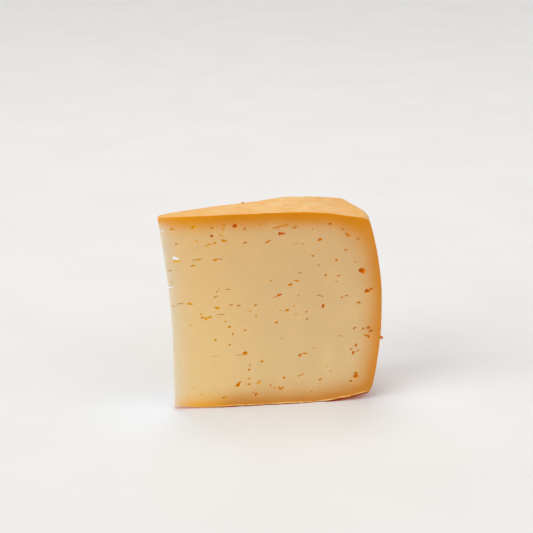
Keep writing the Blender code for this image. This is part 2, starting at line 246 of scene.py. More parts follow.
class SurfaceSizes(bpy.types.PropertyGroup):
    """How finely the wedge is modelled, and how uneven it is."""

    cells_along: a_count("Cells along", "Points from the point to the rim", 102)
    cells_across: a_count("Cells across", "Points from one cut to the other", 26)
    cells_up: a_count("Cells up", "Points from the underside to the top", 94)
    edge_round: a_length("Edge round", "Rounding of the cut edges", 0.25 * MM)
    ball_detail: a_count("Ball detail", "Subdivisions of the balls that sink the eyes", 3)
    far_ball_detail: a_count("Far ball detail", "The same in the far cut", 2)
    ball_raggedness: a_number("Ball raggedness", "Unevenness of a ball over its opening", 0.9)
    waviness: a_length("Waviness", "Height of the broad unevenness", 0.45 * MM)
    wave_length: a_length("Wave length", "Size of the broad unevenness", 17 * MM)
    grain: a_length("Grain", "Height of the fine unevenness", 0.10 * MM)
    grain_size: a_length("Grain size", "Size of the fine unevenness", 3 * MM)
    swell: a_length("Swell", "How far the rim's top corner stands out past the cut", 1 * MM)
    swell_reach: a_length("Swell reach", "Size of that swelling", 9 * MM)
    lip: a_length("Lip", "How far the rind stands out along the lower cut edge", 0.55 * MM)
    lip_height: a_length("Lip height", "Height of that lip", 0.9 * MM)
    sag: a_length("Sag", "How far that lip hangs at the rim's end", 1.3 * MM)


class CheeseColours(bpy.types.PropertyGroup):
    """Colours of the paste and the rind."""

    paste_pale: a_colour("Pale paste", "Paste near the point", 244, 210, 146)
    paste_deep: a_colour("Deep paste", "Paste near the rim", 229, 197, 143)
    # Painted shade: the paste darkens upwards, in place of the floor's light on its lower part
    upper_painted_shade: a_colour("Upper tone", "How the paste deepens upwards", 250, 243, 240)
    # Paler colour down the point's edge
    point_edge: a_colour("Point edge", "Milky edge of the point", 232, 229, 214)
    ochre_top: a_colour("Top ochre", "Paste under the top rind", 225, 141, 2)
    gold_top: a_colour("Top gold", "The same near the point", 238, 156, 2)
    ochre_rim: a_colour("Rim ochre", "Paste along the rim", 221, 144, 46)
    ochre_foot: a_colour("Foot ochre", "Paste above the lower rind", 213, 140, 50)
    gold_foot: a_colour("Foot gold", "The same near the point", 253, 177, 16)
    # Painted highlight on the lower rind's thin edge, and the real lower rind below it darkened by
    # painted contact shadow
    lip_highlight: a_colour("Lip", "Thin edge of the lower rind", 255, 220, 140)
    lip_shade: a_colour("Lip shade", "Lower rind below that edge", 150, 46, 6)
    # Eye walls in painted light and shade: gold light let through near the thin point, amber and brown
    # further in, red painted shade in the depths
    eye_gold: a_colour("Gold eye", "Walls of the eyes near the point", 252, 197, 6)
    eye_amber: a_colour("Amber eye", "Walls of the eyes in the middle", 246, 172, 0)
    eye_brown: a_colour("Brown eye", "Walls of the eyes near the rim", 238, 156, 0)
    eye_red: a_colour("Red eye", "Depths of the larger eyes", 235, 132, 0)
    rind_pale: a_colour("Pale rind", "Dry bloom of the rind", 237, 200, 144)
    rind_orange: a_colour("Orange rind", "Washed rind below the bloom", 234, 173, 92)
    rind_side: a_colour("Side rind", "Rind of the wheel's side", 224, 156, 78)
    rind_under: a_colour("Lower rind", "Moist rind of the underside", 206, 84, 16)
    # Painted glow of the lower rind, standing in for light that the paste lets through onto the floor
    painted_glow: a_colour("Let through", "Daylight that the paste lets down", 180, 92, 0)
    tip_painted_glow: a_colour("Tip let through", "The same near the thin point", 255, 230, 200)
    rind_speck: a_colour("Rind speck", "Dry brown flecks", 196, 116, 58)
    crumb: a_colour("Crumb", "Dry crumbs", 230, 140, 26)


class StageSizes(bpy.types.PropertyGroup):
    """Floor, lamps and camera."""

    floor_side: a_length("Floor side", "Side of the square floor", 12)
    floor_colour: a_colour("Floor", "Pale matte floor", 233, 231, 228)
    # Painted cool patch that cancels part of the orange light that the wedge throws on the floor
    floor_painted_cool: a_colour("Floor near", "Cooler floor close to the wedge", 234, 238, 242)
    sky_colour: a_colour("Sky", "Even light from all round", 250, 250, 252)
    sky_strength: a_number("Sky strength", "Strength of the even light", 0.28, min=0)
    left_strength: a_number("Left lamp", "Irradiance of the lamp on the point's side", 1.55, min=0)
    front_strength: a_number("Front lamp", "Irradiance of the lamp in front", 0.27, min=0)
    back_strength: a_number("Back lamp", "Irradiance of the lamp behind", 0.45, min=0)
    right_strength: a_number("Right lamp", "Irradiance of the lamp on the rim's side", 0.62, min=0)
    side_softness: an_angle("Side softness", "Angle that each of these four lamps fills", 46)
    top_power: a_number("Top lamp", "Power of the square lamp overhead", 4, unit="POWER")
    eye_point: a_place("Camera", "Where the camera stands", -154.4, -545.5, 270)
    aim_point: a_place("Aim", "Where the camera looks", -1.6, -3.6, 67.3)
    focal_length: a_number("Focal length", "Focal length in mm on a 36 mm wide sensor", 87.8)


def combined(operation, swapped=False):
    """A method of Value that adds a Math node on the value and what it meets in a sum."""
    def method(value, other):
        items = (other, value) if swapped else (value, other)
        return value.graph.math(operation, *items)
    return method


class Value:
    """The value of a node's socket, which sums can use as they use a number."""

    def __init__(self, graph, socket):
        self.graph = graph
        self.socket = socket

    __add__ = combined("ADD")
    __radd__ = combined("ADD", swapped=True)
    __sub__ = combined("SUBTRACT")
    __rsub__ = combined("SUBTRACT", swapped=True)
    __mul__ = combined("MULTIPLY")
    __rmul__ = combined("MULTIPLY", swapped=True)
    __truediv__ = combined("DIVIDE")
    __rtruediv__ = combined("DIVIDE", swapped=True)
    __pow__ = combined("POWER")

    def __neg__(self):
        return self.graph.math("MULTIPLY", self, -1)

    def __abs__(self):
        return self.graph.math("ABSOLUTE", self)


def set_up(thing, **settings):
    """Give a thing its settings."""
    for name, setting in settings.items():
        setattr(thing, name, setting)
    return thing


class Graph:
    """Adds nodes to one tree, of a material or of Geometry Nodes."""

    def __init__(self, tree):
        self.tree = tree

    def node(self, kind, settings=None, sockets=None):
        """Add a node: its settings first, then the values or links of its sockets.

        sockets is a list in the sockets' order, or a dictionary by their names.
        """
        node = set_up(self.tree.nodes.new(kind), **(settings or {}))
        shown = [socket for socket in node.inputs if socket.enabled]
        if isinstance(sockets, dict):
            named = {socket.name: socket for socket in reversed(shown)}
            pairs = [(named[name], value) for name, value in sockets.items()]
        else:
            pairs = zip(shown, sockets or [])
        for socket, value in pairs:
            if isinstance(value, Value):
                self.tree.links.new(value.socket, socket)
            else:
                socket.default_value = value
        return node

    def value(self, kind, settings=None, sockets=None, output=0):
        """Add a node and give one of its shown outputs."""
        node = self.node(kind, settings, sockets)
        shown = [socket for socket in node.outputs if socket.enabled]
        return Value(self, shown[output])

    def math(self, operation, *items):
        return self.value("ShaderNodeMath", {"operation": operation}, items)

    def vector_math(self, operation, *items):
        return self.value("ShaderNodeVectorMath", {"operation": operation}, items)


def smooth(value, start, end):
    """0 before start and 1 past end, with a smooth step between them."""
    return value.graph.value(
        "ShaderNodeMapRange", {"interpolation_type": "SMOOTHSTEP"},
        {"Value": value, "From Min": start, "From Max": end})


def fade(value, start, end):
    """1 before start and 0 past end."""
    return 1 - smooth(value, start, end)


def mix(factor, first, second):
    """A colour between two others."""
    return factor.graph.value("ShaderNodeMix", {"data_type": "RGBA"}, [factor, first, second])


def painted(colour, *layers):
    """A colour under some layers, each given by how much it covers and by its colour."""
    for cover, layer in layers:
        colour = mix(cover, colour, layer)
    return colour


def noise(place, size, detail=2, output=0):
    """Noise whose features are as large as size. Output 0 is a number, and 1 is a colour."""
    return place.graph.value(
        "ShaderNodeTexNoise", None, {"Vector": place, "Scale": 1 / size, "Detail": detail}, output)


def jolt(place, size, detail, reach):
    """A shift that wanders over a size, by up to half its reach each way."""
    graph = place.graph
    centred = graph.vector_math("SUBTRACT", noise(place, size, detail, output=1), (0.5, 0.5, 0.5))
    return graph.value("ShaderNodeVectorMath", {"operation": "SCALE"}, [centred, reach])


def apart(vector):
    """The three parts of a vector."""
    node = vector.graph.node("ShaderNodeSeparateXYZ", None, [vector])
    return [Value(vector.graph, socket) for socket in node.outputs]


def together(*parts):
    """A vector from its three parts."""
    return parts[0].graph.value("ShaderNodeCombineXYZ", None, parts)


def either(operation, on_numbers):
    """A function of numbers, which adds its Math node where one of them is a socket's value."""
    def function(*items):
        for item in items:
            if isinstance(item, Value):
                return item.graph.math(operation, *items)
        return on_numbers(*items)
    return function


larger = either("MAXIMUM", max)
smaller = either("MINIMUM", min)
exponential = either("EXPONENT", math.exp)
root = either("SQRT", math.sqrt)
cosine = either("COSINE", math.cos)
sine = either("SINE", math.sin)
tangent = either("TANGENT", math.tan)


def within_one(share):
    return larger(smaller(share, 1), 0)


# The wheel's form. Each function takes the sizes as numbers, or as a tree's inputs.

def top_height(wheel, radius):
    """Height of the wheel's top at a distance from its axis."""
    past = larger(radius - wheel.shoulder_radius, 0) / wheel.shoulder_reach
    return wheel.height - wheel.shoulder_drop * past ** wheel.shoulder_power


def underside_height(wheel, radius):
    """Height of the wheel's underside above the table."""
    outer = larger(radius - wheel.foot_radius, 0) / wheel.foot_reach
    inner = larger(1 - radius / wheel.hollow_radius, 0)
    lift = wheel.foot_lift * outer ** wheel.foot_power
    return lift + wheel.hollow_depth * inner ** wheel.hollow_power


def side_radius(wheel, height):
    """Radius of the wheel's side at a height."""
    away = abs(height - wheel.bulge_height) / wheel.bulge_height
    return wheel.radius - wheel.bulge_depth * away ** wheel.bulge_power


def point_foot_x(wheel):
    """X of the point's foot in the wheel's frame."""
    return wheel.point_radius * cosine(wheel.angle / 2)


def point_x(wheel, height):
    """X of the near edge of the point's trimmed face in the wheel's frame."""
    above = larger(height - wheel.point_bend_height, 0)
    lean = above / (wheel.height - wheel.point_bend_height)
    return point_foot_x(wheel) - wheel.point_overhang * lean ** wheel.point_bend_power


def drift_at(wheel, x):
    """How far the far cut curves in."""
    past_point = x - point_foot_x(wheel)
    return wheel.knife_drift * exponential(-past_point / wheel.knife_drift_length)


def face_x(wheel, height, y):
    """X of the point's trimmed face, which is turned about the near edge of its foot."""
    from_edge = y + point_foot_x(wheel) * tangent(wheel.angle / 2)
    return point_x(wheel, height) + from_edge * tangent(wheel.point_slant)


def wheel_centre(wheel):
    """The wheel's centre in the part's frame."""
    return Vector((HIGH.x - wheel.radius, 0, 0))


# Geometry Nodes trees

def properties_of(*groups):
    """The values of some property groups' own properties, by their labels."""
    return {label: getattr(group, label) for group in groups for label in type(group).__annotations__}


def new_geometry_tree(name, groups, **kinds):
    """A Geometry Nodes tree whose inputs are the properties of some groups and some other ones.

    kinds holds the other inputs' socket types. The result is the graph, and the inputs by name.
    """
    tree = bpy.data.node_groups.new(name, "GeometryNodeTree")
    for label, value in properties_of(*groups).items():
        kinds[label] = "Int" if isinstance(value, int) else "Float"
    for label, kind in {"Geometry": "Geometry", **kinds}.items():
        tree.interface.new_socket(label, in_out="INPUT", socket_type=f"NodeSocket{kind}")
    tree.interface.new_socket("Geometry", in_out="OUTPUT", socket_type="NodeSocketGeometry")
    graph = Graph(tree)
    entry = graph.node("NodeGroupInput")
    given = {socket.name: Value(graph, socket) for socket in entry.outputs if socket.name}
    return graph, SimpleNamespace(**given)


def end_tree(geometry):
    """Link a tree's result."""
    geometry.graph.node("NodeGroupOutput", None, [geometry])
    return geometry.graph.tree


def add_tree(piece, tree, groups=(), **values):
    """Put a Geometry Nodes tree on a piece, with its inputs set."""
    modifier = piece.modifiers.new(tree.name, "NODES")
    modifier.node_group = tree
    values.update(properties_of(*groups))
    for item in tree.interface.items_tree:
        if item.in_out == "INPUT" and item.name in values:
            modifier[item.identifier] = values[item.name]


def step(kind, geometry, **sockets):
    """Geometry after one more node, whose type is given without its prefix."""
    return geometry.graph.value("GeometryNode" + kind, None, {"Geometry": geometry, **sockets})


def with_note(geometry, name, value, data_type, domain):
    """Geometry that holds a value under a name."""
    return geometry.graph.value(
        "GeometryNodeStoreNamedAttribute", {"data_type": data_type, "domain": domain},
        {"Geometry": geometry, "Name": name, "Value": value})


def note(graph, name, data_type):
    """The value that geometry holds under a name."""
    return graph.value("GeometryNodeInputNamedAttribute", {"data_type": data_type}, {"Name": name})


def rounded_section(wheel, along, up):
    """Shares along and up the section, moved in so that its rim corners and its tip are round.

    A corner's square is shrunk towards its inner corner, so that its two outer sides become one
    parabolic arc that leaves the straight sides smoothly.
    """
    moved_along, moved_up = along, up
    corners = (
        (wheel.corner_round, along, up, 1, 1),
        (wheel.corner_round, along, 1 - up, 1, -1),
        (wheel.tip_round, 1 - along, up, -1, 1),
    )
    for leg, outward, upward, along_sign, up_sign in corners:
        reach_along = leg / (wheel.radius - wheel.point_radius)
        reach_up = leg / wheel.height
        near_along = within_one((outward - 1) / reach_along + 1)
        near_up = within_one((upward - 1) / reach_up + 1)
        pull = near_along * near_along * near_up * near_up / 4
        moved_along = moved_along - along_sign * reach_along * pull
        moved_up = moved_up - up_sign * reach_up * pull
    return moved_along, moved_up


def make_wedge_tree(*groups):
    """Tree that bends a box of fine cells into the wedge between the two long cuts."""
    graph, given = new_geometry_tree(
        "wedge_body", groups, centre_x="Float", paste="Material", rind="Material",
        under_rind="Material")
    box = graph.value("GeometryNodeMeshCube", None, [
        (1, 1, 1), given.cells_along, given.cells_across, given.cells_up])
    across, _, upright = apart(graph.value("GeometryNodeInputNormal"))
    sides = {"rind": larger(across, upright), "under_rind": -upright}
    for name, facing in sides.items():
        box = with_note(box, name, graph.math("GREATER_THAN", facing, 0.5), "BOOLEAN", "FACE")

    place = apart(graph.value("GeometryNodeInputPosition"))
    along, through, up = [part + 0.5 for part in place]
    along, up = rounded_section(given, along, up)
    turn = (through - 0.5) * given.angle
    height = given.height * up
    for _ in range(3):
        face = point_x(given, height)
        for _ in range(3):
            face = face_x(given, height, face * tangent(turn) - drift_at(given, face) * through)
        start = face / cosine(turn)
        radius = start + (side_radius(given, height) - start) * along
        foot = underside_height(given, radius)
        height = foot + (top_height(given, radius) - foot) * up
    near_corner = fade(side_radius(given, height) - radius, 0, given.swell_reach)
    near_corner = near_corner * fade(top_height(given, radius) - height, 0, given.swell_reach)
    swell = given.swell * near_corner * smooth(through, 0, 0.2) * fade(through, 0.3, 0.8)
    radius = radius + swell
    height = height + 0.5 * swell
    x = radius * cosine(turn)
    y = radius * sine(turn) - drift_at(given, x) * through

    bent = step("SetPosition", box, Position=together(x + given.centre_x, y, height))
    coated = step("SetMaterial", step("RealizeInstances", bent), Material=given.paste)
    for name in sides:
        coated = step("SetMaterial", coated, Selection=note(graph, name, "BOOLEAN"),
                      Material=getattr(given, name))
    return end_tree(coated)


def make_ball_tree():
    """Tree that turns points into uneven balls, by each point's size and turn."""
    graph, given = new_geometry_tree(
        "ragged_balls", (), detail="Int", raggedness="Float", bump_size="Float",
        material="Material")
    ball = graph.value(
        "GeometryNodeMeshIcoSphere", None, {"Radius": 1, "Subdivisions": given.detail})
    size = note(graph, "size", "FLOAT_VECTOR")
    turn = graph.value("FunctionNodeEulerToRotation", None, [note(graph, "turn", "FLOAT_VECTOR")])
    balls = graph.value(
        "GeometryNodeInstanceOnPoints", None,
        {"Points": given.Geometry, "Instance": ball, "Scale": size, "Rotation": turn})
    width, opening, _ = apart(size)
    offset = jolt(graph.value("GeometryNodeInputPosition"), given.bump_size, 1,
                  given.raggedness * smaller(width, opening))
    balls = step("SetPosition", step("RealizeInstances", balls), Offset=offset)
    return end_tree(step("SetMaterial", balls, Material=given.material))


def make_weather_tree(*groups):
    """Tree that notes each point's depths in mm below the wedge's surfaces, then makes them uneven.

    It also notes how far each point's surface faces up.
    """
    graph, given = new_geometry_tree("weathering", groups, centre_x="Float")
    place = graph.value("GeometryNodeInputPosition")
    part_x, y, height = apart(place)
    x = part_x - given.centre_x
    radius = root(x * x + y * y)
    half = given.angle / 2
    below_near = (y + x * tangent(half)) * cosine(half)
    below_far = (x * tangent(half) - drift_at(given, x) - y) * cosine(half)
    from_foot = height - underside_height(given, radius)
    from_point = x - face_x(given, height, y)
    depths = {
        "from_top": top_height(given, radius) - height,
        "from_foot": from_foot,
        "from_rim": side_radius(given, height) - radius,
        "from_point": from_point,
        "below_cut": smaller(smaller(below_near, below_far), from_point),
    }
    notes = {name: depth / MM for name, depth in depths.items()}
    # How far the surface faces up, for the painted highlight on the eyes' upward walls
    notes["upward"] = apart(graph.value("GeometryNodeInputNormal"))[2]
    geometry = given.Geometry
    for name, value in notes.items():
        geometry = with_note(geometry, name, value, "FLOAT", "POINT")

    offset = graph.vector_math(
        "ADD", jolt(place, given.wave_length, 1, 2 * given.waviness),
        jolt(place, given.grain_size, 2, 2 * given.grain))
    at_lip = fade(from_foot, 0, given.lip_height) * fade(below_near, 0, given.lip)
    broken = smooth(noise(place, 5 * MM), 0.25, 0.6)
    push = given.lip * at_lip * smooth(from_point, 12 * MM, 30 * MM) * broken
    sag = given.sag * at_lip * smooth(from_point, 50 * MM, 86 * MM)
    lip = together(-1 * push * sine(half), -1 * push * cosine(half), -1 * sag)
    moved = apart(graph.vector_math("ADD", graph.vector_math("ADD", place, offset), lip))
    rested = together(moved[0], moved[1], larger(moved[2], 0))
    return end_tree(step("SetPosition", geometry, Position=rested))


# Pieces

def new_piece(name, data):
    """An object at the origin, in the scene's own collection."""
    piece = bpy.data.objects.new(name, data)
    bpy.context.scene.collection.objects.link(piece)
    return piece


def settle(piece):
    """Turn a piece into the plain mesh that its modifiers make."""
    graph = bpy.context.evaluated_depsgraph_get()
    mesh = bpy.data.meshes.new_from_object(
        piece.evaluated_get(graph), preserve_all_data_layers=True, depsgraph=graph)
    mesh.name = piece.name
    piece.modifiers.clear()
    piece.data = mesh


def smooth_piece(piece, degrees):
    """Shade a piece smooth, apart from its edges sharper than an angle."""
    piece.data.shade_smooth()
    piece.data.set_sharp_from_angle(angle=math.radians(degrees))


def cloud_of_balls(name, balls, tree, detail, raggedness, material):
    """A piece of uneven balls."""
    mesh = bpy.data.meshes.new(name)
    mesh.from_pydata([ball.place for ball in balls], [], [])
    for label in ("size", "turn"):
        attribute = mesh.attributes.new(label, "FLOAT_VECTOR", "POINT")
        attribute.data.foreach_set(
            "vector", [part for ball in balls for part in getattr(ball, label)])
    cloud = new_piece(name, mesh)
    add_tree(cloud, tree, detail=detail, raggedness=raggedness, bump_size=BALL_BUMPS,
             material=material)
    return cloud


def cut_frame(wheel, side):
    """Matrix whose X runs along a cut, Y up and Z out of the wedge, from the wheel's centre.

    side is -1 for the near cut, 1 for the far one and 0 for the point's face.
    """
    half = side * wheel.angle / 2
    if side:
        along = Vector((math.cos(half), math.sin(half), 0))
        outward = Vector((-math.sin(abs(half)), side * math.cos(half), 0))
    else:
        along = Vector((0, 1, 0))
        outward = Vector((-1, 0, 0))
    return Matrix((along, Vector((0, 0, 1)), outward)).transposed()


def near_cut_place(wheel, along, height):
    """A place on the near cut, given in mm, from the wheel's centre."""
    return cut_frame(wheel, -1) @ Vector((wheel.point_radius + along * MM, height * MM, 0))


def eye_balls(wheel, side, eye, depths, rng):
    """The balls that sink one eye: one ball, or a bent row of overlapping ones.

    depths holds the least and the greatest height of a ball.
    """
    along, height, width, opening, tilt, bend = eye
    axes = cut_frame(wheel, side)
    count = 1
    if width > LONG_EYE * opening:
        count = min(MOST_BALLS, 1 + math.ceil(BALLS_PER_OPENING * (width / opening - 1)))
    balls = []
    for index in range(count):
        share = 0 if count == 1 else 2 * index / (count - 1) - 1
        size = opening * rng.uniform(0.75, 1.2) * (1 - 0.25 * abs(share))
        long_size = width if count == 1 else 1.2 * size
        sideways = 0 if count == 1 else rng.uniform(-0.16, 0.16) * opening
        shift = Vector((share * (width - opening) / 2,
                        bend * (share * share - 0.35) + sideways, 0))
        shift.rotate(Euler((0, 0, tilt)))
        depth = min(max((long_size + size) / 2, depths[0]), depths[1])
        at = Vector((along + shift.x, height + shift.y, -BALL_SUNK * depth))
        if side:
            place = axes @ Vector((wheel.point_radius + at.x, at.y, at.z))
            if side > 0:
                place.y -= drift_at(wheel, place.x)
        else:
            place = axes @ at
            place.x += face_x(wheel, height, place.y)
        turned = axes @ Matrix.Rotation(tilt, 3, "Z")
        if turned.determinant() < 0:
            turned.col[0] *= -1
        balls.append(Ball(place + wheel_centre(wheel), turned.to_euler(),
                          (long_size / 2, size / 2, depth / 2)))
    return balls


def in_metres(eyes):
    """Eyes given in mm and degrees, in metres and radians, with the numbers that are left out."""
    return [
        (along * MM, height * MM, width * MM, opening * MM, math.radians(tilt), bend * MM)
        for along, height, width, opening, tilt, bend in [(*eye, 0, 0)[:6] for eye in eyes]]


def clear_of(eye, others):
    """Whether an eye keeps its distance from the others."""
    return all(
        math.hypot(eye[0] - other[0], eye[1] - other[1]) > (eye[2] + other[2]) / 2 + EYE_GAP
        for other in others)


def inside_cut(wheel, eye):
    """Whether an eye of a long cut keeps its distance from the rind and the point."""
    along, height, width = eye[:3]
    radius = wheel.point_radius + along
    gap = RIND_GAP + width / 2
    if not underside_height(wheel, radius) + gap < height < top_height(wheel, radius) - gap:
        return False
    return point_x(wheel, height) + gap < radius < side_radius(wheel, height) - gap


def random_eyes(wheel, numbers, others, rng):
    """Eyes at random places of a long cut, clear of each other and of the other ones."""
    count, least, most = numbers
    eyes = []
    while len(eyes) < count:
        width = least + (most - least) * rng.random() ** 2.2
        opening = width * rng.uniform(0.4, 0.95)
        tilt = math.radians(rng.uniform(-28, 28))
        along = rng.uniform(0, wheel.radius - wheel.point_radius)
        height = rng.uniform(0, wheel.height)
        eye = (along, height, width, opening, tilt, rng.uniform(-0.2, 0.3) * width)
        if inside_cut(wheel, eye) and clear_of(eye, [*others, *eyes]):
            eyes.append(eye)
    return eyes


def point_eyes(wheel, rng):
    """Small eyes down the narrow face of the point."""
    count, least, most = POINT_EYES
    eyes = []
    for index in range(count):
        width = rng.uniform(least, most)
        height = wheel.height * (index + rng.uniform(0.3, 0.9)) / (count + 0.5)
        eyes.append((rng.uniform(-0.5 * MM, 0.5 * MM), height, width, 0.7 * width, 0, 0))
    return eyes


def piercing_balls(wheel):
    """Long balls that pierce the thin point, and flat ones that notch its upright edge."""
    falling = math.cos(TUNNEL_FALL)
    heading = Vector((
        math.sin(TUNNEL_HEADING) * falling, math.cos(TUNNEL_HEADING) * falling,
        -math.sin(TUNNEL_FALL)))
    tunnel_turn = heading.to_track_quat("Z", "Y").to_euler()
    nick_turn = cut_frame(wheel, -1).to_euler()
    balls = []
    for along, height, width, opening in TUNNELS:
        place = near_cut_place(wheel, along, height) + TUNNEL_SHARE_IN * TUNNEL_LENGTH * heading
        size = (width * MM / 2, opening * MM / 2, TUNNEL_LENGTH / 2)
        balls.append(Ball(place + wheel_centre(wheel), tunnel_turn, size))
    for along, height, width, opening in NICKS:
        place = near_cut_place(wheel, along, height)
        size = (width * MM / 2, opening * MM / 2, width * MM / 2)
        balls.append(Ball(place + wheel_centre(wheel), nick_turn, size))
    return balls


def all_eye_balls(wheel):
    """The balls of the eyes of the near cut and the point, and those of the far cut."""
    rng = random.Random(SEED)
    placed = in_metres(NEAR_EYES)
    dimples = in_metres(NEAR_DIMPLES)
    groups = (
        (-1, placed, EYE_DEPTHS),
        (-1, dimples, DIMPLE_DEPTHS),
        (-1, random_eyes(wheel, NEAR_SPECKS, placed + dimples, rng), SPECK_DEPTHS),
        (1, random_eyes(wheel, FAR_EYES, (), rng), EYE_DEPTHS),
        (0, point_eyes(wheel, rng), POINT_DEPTHS),
    )
    near, far = piercing_balls(wheel), []
    for side, eyes, depths in groups:
        for eye in eyes:
            (far if side > 0 else near).extend(eye_balls(wheel, side, eye, depths, rng))
    return near, far


def apart_in_passes(balls):
    """The balls in passes, so that no two balls of a pass touch."""
    passes = []
    for ball in balls:
        for group in passes:
            if all((ball.place - other.place).length
                   > BALL_GAP * (max(ball.size) + max(other.size)) for other in group):
                group.append(ball)
                break
        else:
            passes.append([ball])
    return passes


def crumb_balls(wheel):
    """Crumbs that lie on the top and stick to the side."""
    places = []
    for radius, share, width in TOP_CRUMBS:
        height = top_height(wheel, radius * MM) + TOP_CRUMB_RISE * width * MM
        places.append((radius * MM, share, height, width))
    for height, share, width in SIDE_CRUMBS:
        radius = side_radius(wheel, height * MM) + SIDE_CRUMB_RISE * width * MM
        places.append((radius, share, height * MM, width))
    rng = random.Random(SEED)
    balls = []
    for radius, share, height, width in places:
        turn = share * wheel.angle
        place = Vector((radius * math.cos(turn), radius * math.sin(turn), height))
        balls.append(Ball(
            place + wheel_centre(wheel), [rng.uniform(0, math.tau) for _ in range(3)],
            [width * MM / 2 * rng.uniform(0.6, 1) for _ in range(3)]))
    return balls


# Materials

def new_material(name, roughness, specular, subsurface=0, spread_mm=None):
    """A material, the place of the shaded point in the part's frame, and the shader.

    spread_mm says how far red, green and blue light spreads below the surface.
    """
    material = bpy.data.materials.new(name)
    material.use_nodes = True
    shader = material.node_tree.nodes["Principled BSDF"]
    constants = {"Roughness": roughness, "Specular IOR Level": specular}
    if subsurface:
        constants.update({"Subsurface Weight": subsurface, "Subsurface Radius": spread_mm,
                          "Subsurface Scale": MM})
    for label, constant in constants.items():
        shader.inputs[label].default_value = constant
    graph = Graph(material.node_tree)
    coordinates = graph.node("ShaderNodeTexCoord")
    return material, Value(graph, coordinates.outputs["Object"]), shader


def feed(shader, **sockets):
    """Link values to the shader's sockets, named with _ for a space."""
    for name, value in sockets.items():
        value.graph.tree.links.new(value.socket, shader.inputs[name.replace("_", " ")])


def noted(graph, *names):
    """The numbers that the mesh holds for each point under some names."""
    nodes = [graph.node("ShaderNodeAttribute", {"attribute_name": name}) for name in names]
    return [Value(graph, node.outputs["Fac"]) for node in nodes]


def stretched(place, *scale):
    """A place whose patterns are drawn out along some axes."""
    return place.graph.vector_math("MULTIPLY", place, scale)


def fall_off(depth, reach, power=2):
    """1 at the surface, falling like a bell to nothing past its reach."""
    return exponential(-(larger(depth / reach, 0) ** power))


def near_edge(depth, reach):
    """1 at the surface, falling steeply at first."""
    return exponential(-larger(depth, 0) / reach)


def bump(height, distance):
    """A normal that follows a height between 0 and 1."""
    return height.graph.value(
        "ShaderNodeBump", None, {"Strength": 1, "Distance": distance, "Height": height})


def near_places(place, spots, border):
    """1 near some places, each given by its centre and its radius, and 0 past their border."""
    near = 0
    for centre, radius in spots:
        away = place.graph.value(
            "ShaderNodeVectorMath", {"operation": "DISTANCE"}, [place, tuple(centre)])
        near = larger(fade(away, radius, radius + border), near)
    return near


